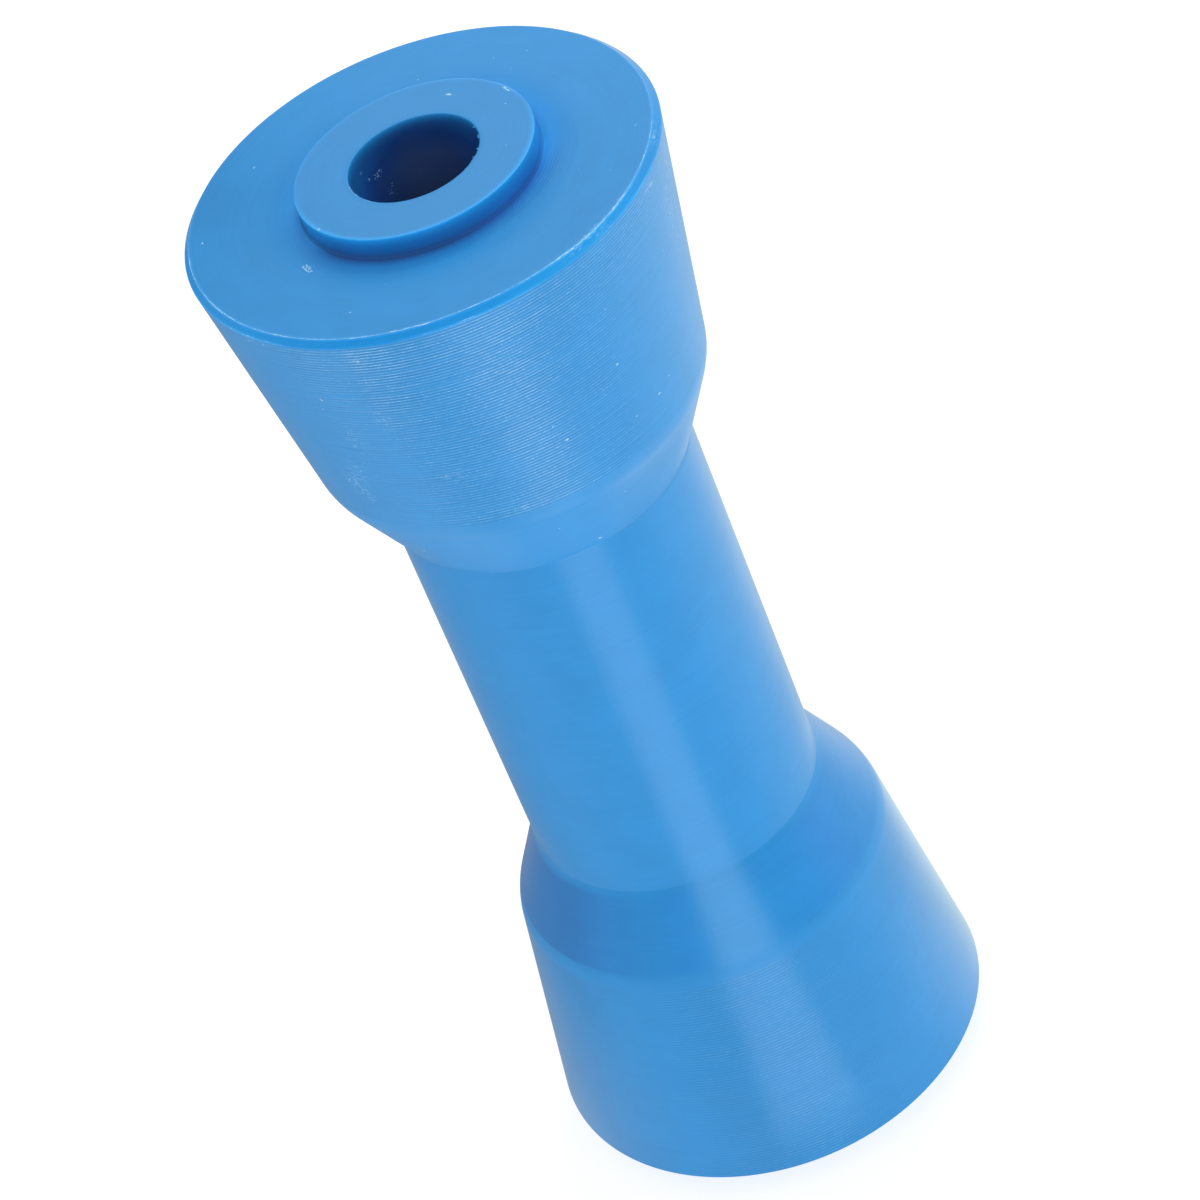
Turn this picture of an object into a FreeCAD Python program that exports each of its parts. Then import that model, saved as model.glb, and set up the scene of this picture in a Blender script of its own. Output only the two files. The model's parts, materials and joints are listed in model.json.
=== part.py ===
import FreeCAD, Part
import math
import os

# Boat trailer keel roller: one solid plastic turning with a plain through bore.
# Millimetres. The axis is Z, and the origin is on it, midway between the two ends.

# Overall form
overall_length = 200.0       # from hub face to hub face
rim_diameter = 77.0          # the widest circle, at each end
waist_diameter = 50.4        # the cylinder that the keel rides on
waist_length = 73.6          # between the two inner corners
bore_diameter = 21.2         # plain hole for the spindle

# Ends
hub_diameter = 38.8          # low raised boss round the bore
hub_height = 3.7             # how far the boss stands out from the end face
hub_foot_radius = 0.4        # left by the nose of the tool
rim_chamfer_width = 1.0      # measured on the end face
rim_chamfer_length = 1.1     # measured along the axis

# Flanges: an outer cone, a rounded shoulder and a steeper inner cone
shoulder_diameter = 65.4     # where the two cones would cross
shoulder_spacing = 103.6     # between the two crossings
shoulder_radius = 10.0
inner_corner_radius = 0.8    # where the inner cone meets the waist

# The upper half of the outline, from the bore out over the end and down to the waist.
# Each corner is a radius from the axis, a height, and the radius that rounds it.
end_height = overall_length / 2
face_height = end_height - hub_height
rim_radius = rim_diameter / 2
bore_radius = bore_diameter / 2
hub_radius = hub_diameter / 2
waist_radius = waist_diameter / 2

upper_corners = [
    (bore_radius, end_height, 0.0),
    (hub_radius, end_height, 0.0),
    (hub_radius, face_height, hub_foot_radius),
    (rim_radius - rim_chamfer_width, face_height, 0.0),
    (rim_radius, face_height - rim_chamfer_length, 0.0),
    (shoulder_diameter / 2, shoulder_spacing / 2, shoulder_radius),
    (waist_radius, waist_length / 2, inner_corner_radius),
]
lower_corners = [(x, -z, rounding) for x, z, rounding in reversed(upper_corners)]


def rounded_corner(before, corner, after, rounding):
    """The start, middle and end of the arc that rounds a corner, or the corner alone if it is sharp."""
    if rounding == 0.0:
        return [corner]
    to_before = (before - corner).normalize()
    to_after = (after - corner).normalize()
    half_angle = to_before.getAngle(to_after) / 2
    setback = rounding / math.tan(half_angle)
    bisector = (to_before + to_after).normalize()
    centre = corner + bisector * (rounding / math.sin(half_angle))
    return [corner + to_before * setback, centre - bisector * rounding, corner + to_after * setback]


def outline_wire(corners):
    """A closed wire in the XZ plane through the corners, with straight edges and rounding arcs."""
    points = [FreeCAD.Vector(x, 0, z) for x, z, rounding in corners]
    count = len(points)
    stations = []
    for index, (x, z, rounding) in enumerate(corners):
        before = points[index - 1]
        after = points[(index + 1) % count]
        stations.append(rounded_corner(before, points[index], after, rounding))
    edges = []
    for index, station in enumerate(stations):
        if len(station) == 3:
            edges.append(Part.Arc(*station).toShape())
        next_start = stations[(index + 1) % count][0]
        edges.append(Part.LineSegment(station[-1], next_start).toShape())
    return Part.Wire(edges)


def turned_roller():
    """The outline turned a full circle about the axis, which leaves the bore open."""
    section = Part.Face(outline_wire(upper_corners + lower_corners))
    return section.revolve(FreeCAD.Vector(0, 0, 0), FreeCAD.Vector(0, 0, 1), 360)


roller = turned_roller()
solid = roller.Solids[0]
print("roller: valid", solid.isValid(), "solids", len(roller.Solids), "volume cm3", round(solid.Volume / 1000, 1))

os.makedirs("parts", exist_ok=True)
solid.exportStep("parts/roller.step")
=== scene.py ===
import json
import math
import bpy
import numpy as np
from mathutils import Matrix, Vector

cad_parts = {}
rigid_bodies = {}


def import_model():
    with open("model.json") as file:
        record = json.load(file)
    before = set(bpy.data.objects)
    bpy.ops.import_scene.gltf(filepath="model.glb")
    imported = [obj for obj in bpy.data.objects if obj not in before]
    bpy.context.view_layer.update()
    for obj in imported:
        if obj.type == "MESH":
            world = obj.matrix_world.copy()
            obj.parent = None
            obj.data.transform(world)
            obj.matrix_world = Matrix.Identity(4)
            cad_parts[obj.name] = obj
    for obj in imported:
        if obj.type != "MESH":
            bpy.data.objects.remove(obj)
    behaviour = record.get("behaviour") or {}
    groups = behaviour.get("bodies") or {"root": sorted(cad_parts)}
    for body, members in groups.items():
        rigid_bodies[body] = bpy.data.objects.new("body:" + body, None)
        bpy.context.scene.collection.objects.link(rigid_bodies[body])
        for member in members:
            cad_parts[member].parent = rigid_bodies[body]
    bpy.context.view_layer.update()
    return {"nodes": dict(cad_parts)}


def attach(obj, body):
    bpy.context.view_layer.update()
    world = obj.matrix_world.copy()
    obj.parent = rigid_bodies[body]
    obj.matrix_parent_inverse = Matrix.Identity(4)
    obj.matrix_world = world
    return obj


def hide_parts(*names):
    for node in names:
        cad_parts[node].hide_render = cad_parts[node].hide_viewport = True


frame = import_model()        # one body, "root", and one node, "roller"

scene = bpy.context.scene
scene.view_settings.view_transform = "Standard"
print("frame loaded:", sorted(frame["nodes"]))


# Lengths below are millimetres and angles are degrees. The roller stands on its far end with
# its axis on Z. An angle is counted round the axis from the side that faces the camera,
# and grows to the right in the picture.

def onAxis(radius, angle, height):
    # A point at a radius and a height, turned by an angle (radians) from -Y towards +X.
    return np.stack(np.broadcast_arrays(
        radius * np.sin(angle), -radius * np.cos(angle), height), axis=-1)


def gridFaces(rows, columns, closeRows, closeColumns):
    # Quads of a grid of points, row by row. Each runs first along the rows' direction and then
    # along the columns', and a closed direction joins its last line to its first.
    i = np.arange(rows if closeRows else rows - 1)[:, None]
    j = np.arange(columns if closeColumns else columns - 1)[None, :]
    iNext = (i + 1) % rows
    jNext = (j + 1) % columns
    corners = np.broadcast_arrays(
        i * columns + j, iNext * columns + j, iNext * columns + jNext, i * columns + jNext)
    return np.stack(corners, axis=-1).reshape(-1, 4)


def addPiece(name, points, faces, material, attributes=None, smooth=True):
    # Puts points in millimetres and faces into a mesh in metres, which rides on the roller.
    mesh = bpy.data.meshes.new(name)
    mesh.from_pydata((points.reshape(-1, 3) / 1000).tolist(), [], faces.tolist())
    for key, values in (attributes or {}).items():
        layer = mesh.attributes.new(key, "FLOAT", "POINT")
        layer.data.foreach_set("value", values.astype(np.float32).ravel())
    if smooth:
        mesh.shade_smooth()
    mesh.materials.append(material)
    piece = bpy.data.objects.new(name, mesh)
    scene.collection.objects.link(piece)
    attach(piece, "root")
    return piece


def hexColour(text):
    # An sRGB hex value as linear red, green, blue and an alpha of 1.
    channels = [int(text[k:k + 2], 16) / 255 for k in (1, 3, 5)]
    return [c / 12.92 if c <= 0.04045 else ((c + 0.055) / 1.055) ** 2.4 for c in channels] + [1.0]


def addNode(tree, kind, settings=None, inputs=None):
    # Adds a node, sets its properties, and fills each input with a value or a link.
    node = tree.nodes.new(kind)
    for key, value in (settings or {}).items():
        setattr(node, key, value)
    for key, value in (inputs or {}).items():
        if isinstance(value, bpy.types.NodeSocket):
            tree.links.new(value, node.inputs[key])
        else:
            node.inputs[key].default_value = value
    return node


def addRamp(tree, value, *stops):
    # A colour ramp over a value, with two stops of a position and a colour.
    ramp = addNode(tree, "ShaderNodeValToRGB", inputs={"Fac": value})
    for element, (position, colour) in zip(ramp.color_ramp.elements, stops):
        element.position = position
        element.color = hexColour(colour)
    return ramp


def newMaterial(name):
    # A material with an empty node tree and its output.
    material = bpy.data.materials.new(name)
    material.use_nodes = True
    material.node_tree.nodes.clear()
    return material, material.node_tree, material.node_tree.nodes.new("ShaderNodeOutputMaterial")


# Camera: stands over the near end, turned about its own line of sight as in the picture.
cameraView = {
    "distance": 0.77214,      # metres from the middle of the roller
    "elevation": 39.167,
    "lens": 139.919,          # on a 36 mm wide sensor
    "pan": -0.03663,
    "tilt": 0.35937,
    "roll": 22.8751,
}


def addCamera(view):
    # Starts level behind -Y, then turns right, up, and about the line of sight.
    elevation = math.radians(view["elevation"])
    place = Vector((0, -math.cos(elevation), math.sin(elevation))) * view["distance"]
    forward = -place.normalized()
    right = forward.cross(Vector((0, 0, 1))).normalized()
    up = right.cross(forward)
    turn = Matrix.Rotation(math.radians(view["pan"]), 3, up)
    forward, right = turn @ forward, turn @ right
    turn = Matrix.Rotation(math.radians(view["tilt"]), 3, right)
    forward, up = turn @ forward, turn @ up
    turn = Matrix.Rotation(math.radians(view["roll"]), 3, forward)
    right, up = turn @ right, turn @ up
    data = bpy.data.cameras.new("camera")
    data.lens = view["lens"]
    data.sensor_width = 36
    data.clip_start = 0.05
    data.clip_end = 50
    camera = bpy.data.objects.new("camera", data)
    scene.collection.objects.link(camera)
    camera.matrix_world = Matrix((right, up, -forward)).transposed().to_4x4()
    camera.matrix_world.translation = place
    scene.camera = camera


addCamera(cameraView)
print("camera placed")


# Roller outline, the same corners as the solid. Cut edges keep a hair's breadth of rounding.
rollerBody = {
    "length": 200.0,
    "rimDiameter": 77.0,
    "waistDiameter": 50.4,
    "waistLength": 73.6,
    "boreDiameter": 21.2,
    "hubDiameter": 38.8,
    "hubHeight": 3.7,
    "hubFootRadius": 0.4,
    "chamferWidth": 1.0,
    "chamferLength": 1.1,
    "shoulderDiameter": 65.4,
    "shoulderSpacing": 103.6,
    "shoulderRadius": 10.0,
    "innerCornerRadius": 0.8,
    "cutEdgeRadius": 0.14,
    "hubShift": 0.42,         # the near boss and bore sit this far to the right of the rim's centre
    "feedPitch": 0.59,        # how far the lathe tool moved in one turn
    "grooveDepth": 0.062,     # of the feed marks on the near cone
    "farRows": 36,            # rows on the far cone, which looks smooth
    "columns": 200,
    "mouthRows": (0.2, 0.45, 0.8, 1.2, 1.7, 2.4, 3.4, 4.8, 7, 10, 15, 25, 45, 70),     # depths in the bore
    "skim": 0.05,             # how far the end of the boss is faced below its full height
    "seed": 58,
    # How strongly the feed marks show round the near cone, because the tool chattered more at some
    # angles: first near its top, then lower down, then the depths where one list gives way to the other.
    # They also set how pale the tops of the feed marks are painted, partly as frayed plastic and partly as
    # painted glints.
    "chatterAngles": (-180, -90, -60, -52, -45, -33, -30.5, -24, -18, -8, -2, 4, 14, 24, 34, 45, 60, 90, 180),
    "chatter": (0.6, 0.15, 0.15, 0.3, 0.9, 1.1, 2.4, 2.0, 1.35, 1.4, 1.7, 1.7,
                1.3, 0.8, 0.65, 0.75, 0.4, 0.2, 0.6),
    "chatterLow": (0.5, 0.1, 0.08, 0.1, 0.2, 0.3, 0.5, 0.7, 0.8, 0.9, 1.4, 1.4,
                   0.65, 0.5, 0.15, 0.12, 0.1, 0.1, 0.5),
    "chatterDown": (3, 12, 25),
    "plain": {"tone": 1.0, "deep": 0.0, "frayAndReflection": 0.0, "sheen": 0.28},     # each layer before the coats
    "farChatter": 0.35,       # how much of the feed marks shows on the far cone
    "faceRings": ((0.8, 1.4, 4.2, 5.2), (0, 1, 1, 0)),     # feed marks on the face, out from the boss
    "faceRingAngles": ((5, 20, 55, 75), (0, 0.3, 0.3, 0)),
    "threadWidth": (0.1, 0.25),     # the pale thread along a cut edge is full, then gone
    # how far the chamfer's upper edge wanders towards the axis
    "driftAngles": (-180, -75, -40, -20, 0, 20, 30, 40, 60, 90, 180),
    "drift": (0.0, 0.0, 0.0, 0.1, 0.33, 0.22, -0.05, 0.0, 0.28, 0.2, 0.0),
    # Rubbed and torn patches: an angle, a place in millimetres down the cone from its top (less than
    # 0 is the chamfer and less than -1.6 the end face), half widths in degrees and millimetres, a strength.
    "scuffs": [
        (-52.3, 33.0, 3.0, 3.2, 0.7), (-50.5, 35.5, 2.0, 1.2, 0.7), (-42.8, 21.0, 2.4, 2.4, 0.35),
        (-48.2, 29.0, 2.4, 2.4, 0.45), (-9.0, 40.4, 3.6, 1.3, 0.3), (-22.0, 30.0, 3.0, 1.2, 0.3),
        (72.0, 5.0, 5.0, 5.0, 0.6), (64.0, 11.0, 4.0, 8.0, 0.4), (54.5, 1.9, 3.5, 0.7, 0.6),
        (-56.0, 0.7, 5.0, 0.6, 0.4), (67.5, -0.8, 2.4, 0.5, 0.9), (29.0, -1.8, 9.0, 0.4, 0.8),
        (31.0, -1.2, 6.0, 0.5, 1.0), (36.0, -0.6, 3.0, 0.4, 0.6), (45.0, -1.7, 5.0, 0.3, 0.6),
        (-30.0, 2.6, 1.6, 1.2, 0.4), (-31.6, 16.0, 1.6, 2.2, 0.35),
    ],
}


def roundedCorner(before, corner, after, radius, rows):
    # Points along the arc that touches both lines at a corner, from the first line to the second.
    toBefore = (before - corner) / np.linalg.norm(before - corner)
    toAfter = (after - corner) / np.linalg.norm(after - corner)
    halfAngle = np.arccos(np.clip(toBefore @ toAfter, -1, 1)) / 2
    bisector = (toBefore + toAfter) / np.linalg.norm(toBefore + toAfter)
    centre = corner + bisector * radius / np.sin(halfAngle)
    start = corner + toBefore * radius / np.tan(halfAngle) - centre
    end = corner + toAfter * radius / np.tan(halfAngle) - centre
    sweep = np.arccos(np.clip(start @ end / radius ** 2, -1, 1))
    share = np.linspace(0, 1, rows)[:, None]
    return centre + (np.sin((1 - share) * sweep) * start + np.sin(share * sweep) * end) / np.sin(sweep)


def outlineRows(body):
    # The closed outline as rows of radius and height. Rows crowd towards the ends of each straight
    # run, by a cosine, and the near outer cone has three rows to each turn of the feed.
    end = body["length"] / 2 - body["skim"]
    face = body["length"] / 2 - body["hubHeight"]
    rim = body["rimDiameter"] / 2
    fine = body["cutEdgeRadius"]
    upper = [                 # radius, height, rounding, rows on the arc, rows on the run after it
        (body["boreDiameter"] / 2, end, fine, 4, 9),
        (body["hubDiameter"] / 2, end, fine / 2, 4, 8),
        (body["hubDiameter"] / 2, face, body["hubFootRadius"], 5, 19),
        (rim - body["chamferWidth"], face, fine / 2, 3, 5),
        (rim, face - body["chamferLength"], fine / 2, 3, "feed"),
        (body["shoulderDiameter"] / 2, body["shoulderSpacing"] / 2, body["shoulderRadius"], 9, 8),
        (body["waistDiameter"] / 2, body["waistLength"] / 2, body["innerCornerRadius"], 5, 20),
    ]
    runs = [row[4] for row in upper[:-1]]
    lower = [(r, -h, rounding, rows, 0) for r, h, rounding, rows, run in reversed(upper)]
    runs[4] = body["farRows"]
    corners = upper + [row[:4] + (run,) for row, run in zip(lower, runs[::-1] + ["mouth"])]
    places = np.array([row[:2] for row in corners], float)
    arcs = [roundedCorner(places[k - 1], places[k], places[(k + 1) % len(corners)], row[2], row[3])
            for k, row in enumerate(corners)]
    rows, phases, feeds = [], [], []
    for k, arc in enumerate(arcs):
        start, stop = arc[-1], arcs[(k + 1) % len(arcs)][0]
        span = np.linalg.norm(stop - start)
        if corners[k][4] == "feed":
            turns = int(span / body["feedPitch"] - 0.5)
            phase = np.arange(1, turns * 3 + 1) % 3 / 3
            share = np.arange(1, turns * 3 + 1) / 3 * body["feedPitch"] / span
        elif corners[k][4] == "mouth":
            share = np.array(body["mouthRows"]) / span
            share = np.concatenate([share, 1 - share[::-1]])
            phase = np.zeros(len(share))
        else:
            share = (1 - np.cos(np.pi * np.arange(1, corners[k][4] + 1) / (corners[k][4] + 1))) / 2
            phase = np.zeros(len(share))
        rows += [arc, start + share[:, None] * (stop - start)]
        phases += [np.zeros(len(arc)), phase]
        feeds += [np.zeros(len(arc), bool), np.full(len(phase), corners[k][4] == "feed")]
    return np.concatenate(rows), np.concatenate(phases), np.concatenate(feeds)


def wander(random, lines, knots, position):
    # For each line of numbers, a smooth closed wave through random knots, read at positions 0 to 1.
    values = random.random((lines, knots))
    place = (position + random.random((lines, 1))) * knots
    index = np.floor(place).astype(int)
    blend = place - index
    blend = blend * blend * (3 - 2 * blend)
    line = np.arange(lines)[:, None]
    return values[line, index % knots] * (1 - blend) + values[line, (index + 1) % knots] * blend


def hubShift(body, radius, height):
    # How far a point of the near end moves to the right: fully on the boss and at the mouth of the
    # bore, fading out over the end face and down the bore.
    boreRadius = body["boreDiameter"] / 2
    faceHeight = body["length"] / 2 - body["hubHeight"]
    overFace = np.interp(radius, (21, 34), (1, 0)) * (height > faceHeight - 0.1)
    inBore = np.interp(height, (0, 90), (0, 1))
    return body["hubShift"] * np.where(radius < boreRadius + 0.2, inBore, overFace)


def edgeDrift(body, radius, height, around):
    # How far a point moves towards the axis because the chamfer's upper edge wanders: fully at that
    # edge, fading out over the end face and down the chamfer.
    rim = body["rimDiameter"] / 2
    faceHeight = body["length"] / 2 - body["hubHeight"]
    upper = rim - body["chamferWidth"]
    share = np.interp(radius, (upper - 3, upper, rim), (0, 1, 0)) * (height > faceHeight - body["chamferLength"])
    return share * np.interp(around, body["driftAngles"], body["drift"])


def bodyZones(body, outline, onFeed):
    # Which rows of the outline lie in each zone, at both ends or, where it says so, at the near or far
    # one. Also each row's distances: down from the boss's end, out from its side, and from the middle.
    rim, hub = body["rimDiameter"] / 2, body["hubDiameter"] / 2
    bore, waist = body["boreDiameter"] / 2, body["waistDiameter"] / 2
    end = body["length"] / 2 - body["skim"]
    face = body["length"] / 2 - body["hubHeight"]
    chamferEnd = face - body["chamferLength"]
    size, level = outline[:, 0], np.abs(outline[:, 1])
    near = outline[:, 1] > 0
    drop, past = end - level, size - hub
    flange = (size > waist + body["innerCornerRadius"]) & (level > 36)
    zones = {
        "bore": size < bore + 0.01,
        "hubEnd": (drop < 0.1) & (past > -8),
        "hubEdge": (drop < 0.06) & (past < 0),
        "hubSide": (past > -0.01) & (past < 0.42) & (drop > 0.06),
        "face": (np.abs(level - face) < 0.06) & (past > 0.3),
        "nearFace": near & (np.abs(level - face) < 0.06) & (past > 0.3),
        "chamfer": (level > chamferEnd - 0.03) & (level < face - 0.03) & (size > rim - 1.1),
        "nearFlange": near & flange & (level < chamferEnd),
        "feed": onFeed,
        "shoulder": near & ~onFeed & (size > 30) & (level >= 50) & (level < 55.5),
        "steep": near & flange & (level < 50),
        "corner": near & (size < 27) & (level > 36.3) & (level < 38.3),
        "farCone": ~near & (size > 32) & (level > 53.5) & (level < chamferEnd),
        "farSteep": ~near & flange & (level > 36.9) & (level < 50.5),
    }
    return zones, {"drop": drop, "past": past, "level": level}


# How the plastic looks from place to place. Most of it is painted light and shade: a painted glow
# brightens the cut edges, as light scattered inside the plastic would, and painted shade darkens the
# bore, the boss's foot and the corners and turns them a deeper blue, as light going to and fro in a
# corner would. The coats by angle paint lighter and darker bands round the axis, and the pale coats
# paint a reflection. Each coat names a layer, what it does to it, a zone, a strength, a distance with
# a table, and a table by angle. A table is places and then values, and None counts as 1. "add" adds
# the product of all three, "scale" multiplies the layer by 1 plus the product, and "set" puts the
# product in the layer's place.
farAngles = (-180, -90, -60, -45, -30, -15, -6, 6, 15, 30, 45, 60, 90, 180)
boreAngles = (-180, -150, -120, -90, 0, 90, 120, 150, 180)
bodyCoats = [
    # tone: how bright the colour is, all painted light and shade here. A painted glow lies at the bore's mouth,
    # the boss's edge, the top of the boss's side and the chamfer. Painted shade lies deeper in the bore, at the
    # foot of the boss's side, round the boss's foot, in the inner corner and on the end face's left. Lighter and
    # darker bands are painted by angle in the bore and on the cones.
    ("tone", "set", "bore", 1, "drop", ((0.3, 0.6, 1.0, 1.5, 2.4, 4.0), (1.2, 1.0, 0.96, 0.8, 0.74, 0.7)), None),
    ("tone", "scale", "bore", 1, "drop", ((0.5, 3, 8, 25), (0, 1, 4, 0)),
     (boreAngles, (-0.05, 0.15, 0.4, 0.2, 0, 0, 0.1, -0.05, -0.05))),
    ("tone", "scale", "hubEdge", 1, "past", ((-0.9, -0.3, 0), (0, 0.3, 0.7)),
     ((-180, -100, -70, 60, 100, 180), (0.25, 0.25, 1, 1, 0.25, 0.25))),
    ("tone", "scale", "hubSide", 1, "drop",
     ((0.2, 0.5, 0.9, 1.4, 1.9, 2.9, 3.3, 3.7), (0.5, 0.1, 0.12, 0.1, 0.08, -0.04, -0.16, -0.2)), None),
    ("tone", "scale", "hubSide", 1, "drop", ((0.5, 0.9, 1.9, 3.3, 3.7), (-0.1, 0, 0.1, 0.2, 0.3)),
     ((0, 30, 90, 150), (0, 1, 1, 0))),
    ("tone", "scale", "face", 1, "past",
     ((0.3, 0.6, 1.0, 1.5, 2.0, 3.0, 5.0), (-0.1, -0.04, 0.09, 0.26, 0.28, 0.16, 0.05)), None),
    ("tone", "scale", "face", 1, "past", ((0.3, 0.6, 1, 1.5, 2, 3, 5), (0.85, 0.5, 0.2, 0, -0.12, -0.12, -0.03)),
     ((-150, -90, -72, -55, 0, 30, 60, 80, 90, 150), (0, 0.7, 0.7, 0, 0, 1, 1, 0.5, 0.5, 0))),
    ("tone", "scale", "face", -0.08, "past", ((7, 15), (0, 1)), ((-150, -120, -95), (0, 1, 0))),
    ("tone", "scale", "chamfer", 1, None, None, ((-180, -120, -60, -40, -20, 0, 25, 45, 60, 180),
                                                 (0.1, 0.25, 0.25, 0.32, 0.4, 0.42, 0.35, 0.22, 0.07, 0.1))),
    ("tone", "scale", "steep", 1, None, None,
     ((-60, -45, -25, -10, 15, 30, 60), (0, 0.06, 0.04, 0, 0, -0.06, 0))),
    ("tone", "scale", "corner", -0.05, None, None, ((10, 25, 80, 100), (0, 1, 1, 0))),
    ("tone", "scale", "farSteep", 1, None, None,
     (farAngles, (0, -0.02, 0, 0.06, 0.04, 0.17, 0, 0, 0.06, 0.15, 0.16, 0.05, 0, 0))),
    ("tone", "scale", "farCone", 1, None, None,
     (farAngles, (0, -0.1, -0.1, -0.02, 0, -0.07, -0.05, -0.04, -0.06, -0.04, -0.03, -0.06, -0.06, 0))),
    # deep: painted shade that turns the colour a deeper blue in the bore, down the boss's side, round its foot
    # and on the far steep cone, and a painted deeper blue on part of the chamfer. Past 1 it turns to a greyish
    # navy, painted shade deep in the bore.
    ("deep", "add", "bore", 1, "drop",
     ((0.3, 0.6, 1.0, 1.5, 2.4, 4.0, 8, 20), (0, 0.3, 0.6, 0.8, 0.95, 1.05, 1.6, 2.0)), None),
    ("deep", "scale", "bore", 1, None, None, (boreAngles, (0.1, -0.15, -0.35, -0.3, -0.1, -0.1, -0.2, 0, 0.1))),
    ("deep", "add", "hubSide", 1, "drop",
     ((0.5, 0.9, 1.4, 1.9, 2.9, 3.3), (0, 0.26, 0.51, 0.61, 0.69, 0.82)), None),
    ("deep", "add", "face", 1, "past",
     ((0.3, 0.6, 1.0, 1.5, 2.0, 3.0, 4.5), (0.72, 0.69, 0.55, 0.48, 0.28, 0.18, 0)), None),
    ("deep", "scale", "hubSide", -0.6, None, None, ((-75, -55, 55, 75), (1, 0, 0, 1))),
    ("deep", "scale", "face", -0.9, None, None, ((-75, -55, 55, 75), (1, 0, 0, 1))),
    ("deep", "add", "chamfer", 0.2, None, None, ((-60, -30, 5, 20), (0, 1, 1, 0))),
    ("deep", "add", "farSteep", 1, None, None,
     (farAngles, (0.1, 0.4, 0.45, 0.28, 0.12, 0.25, 0, 0, 0.1, 0.2, 0.33, 0.2, 0.1, 0.1))),
    # the share of pale colour: these coats paint a pale reflection on the cones, the shoulder, the steep
    # cone, the boss's end and the end face, and the threads further down add pale, frayed plastic along the cut
    # edges
    ("frayAndReflection", "add", "feed", 1, None, None,
     ((-180, -120, -60, -40, -30, -20, 25, 45, 60, 75, 120, 180),
      (0.04, 0.03, 0.035, 0.045, 0.035, 0, 0, 0.03, 0.06, 0.09, 0.05, 0.04))),
    ("frayAndReflection", "add", "shoulder", 1, None, None, ((-90, -60, -45, -30, -18, 5, 15, 45, 60, 100),
                                                 (0.02, 0.08, 0.07, 0.08, 0.02, 0, 0.05, 0.05, 0.1, 0.02))),
    ("frayAndReflection", "add", "shoulder", 0.07, "level", ((51, 54.5), (1, 0)), ((45, 60, 80, 110), (0, 1, 1, 0))),
    ("frayAndReflection", "add", "steep", 1, None, None, ((-65, -45, -35, 10, 25, 35, 45, 60, 80, 110),
                                              (0, 0.03, 0.035, 0.03, 0, 0, 0.03, 0.1, 0.1, 0))),
    ("frayAndReflection", "add", "hubEnd", 0.045, None, None, None),
    ("frayAndReflection", "add", "face", 0.05, "past", ((0.3, 2.5), (1, 0)), ((-75, -55, 55, 75), (1, 0, 0, 1))),
    ("frayAndReflection", "add", "face", 1, "past", ((2, 7), (0, 1)),
     ((-180, -120, -75, 0, 20, 75, 120, 180), (0.045, 0, 0.03, 0.035, 0.045, 0.045, 0.05, 0.045))),
    # sheen: the roughness of the shine
    ("sheen", "set", "nearFlange", 0.38, None, None, None),
    ("sheen", "set", "bore", 0.45, None, None, None),
    ("sheen", "set", "hubSide", 1, "drop", ((2.6, 3.4), (0.3, 0.95)), None),
    ("sheen", "set", "face", 1, "past", ((0.3, 1.5, 4, 8), (0.9, 0.6, 0.5, 0.4)), None),
    ("sheen", "set", "chamfer", 1, None, None, ((-70, -30, 5, 28, 50, 65), (0.28, 0.16, 0.15, 0.27, 0.27, 0.2))),
    ("sheen", "add", "steep", 0.1, "level", ((46, 50), (1, 0)), ((12, 28, 45, 55), (0, 1, 1, 0))),
    ("sheen", "add", "corner", 0.2, None, None, ((10, 25, 80, 100), (0, 1, 1, 0))),
]


def coatLayers(plain, coats, zones, distances, around):
    # Rows along the outline and columns round the axis for each layer, with every coat laid in turn.
    shape = (len(distances["drop"]), around.size)
    layers = {layer: np.full(shape, value) for layer, value in plain.items()}
    for layer, change, zone, strength, distance, byDistance, byAngle in coats:
        amount = np.full(shape, float(strength))
        if byDistance:
            amount *= np.interp(distances[distance], *byDistance)[:, None]
        if byAngle:
            amount *= np.interp(around, *byAngle)
        before = layers[layer]
        after = {"set": amount, "add": before + amount, "scale": before * (1 + amount)}[change]
        layers[layer] = np.where(zones[zone][:, None], after, before)
    return layers


def byDegrees(turn):
    # Shares of a full turn as degrees from -180 to 180.
    return np.mod(turn * 360 + 180, 360) - 180


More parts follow.
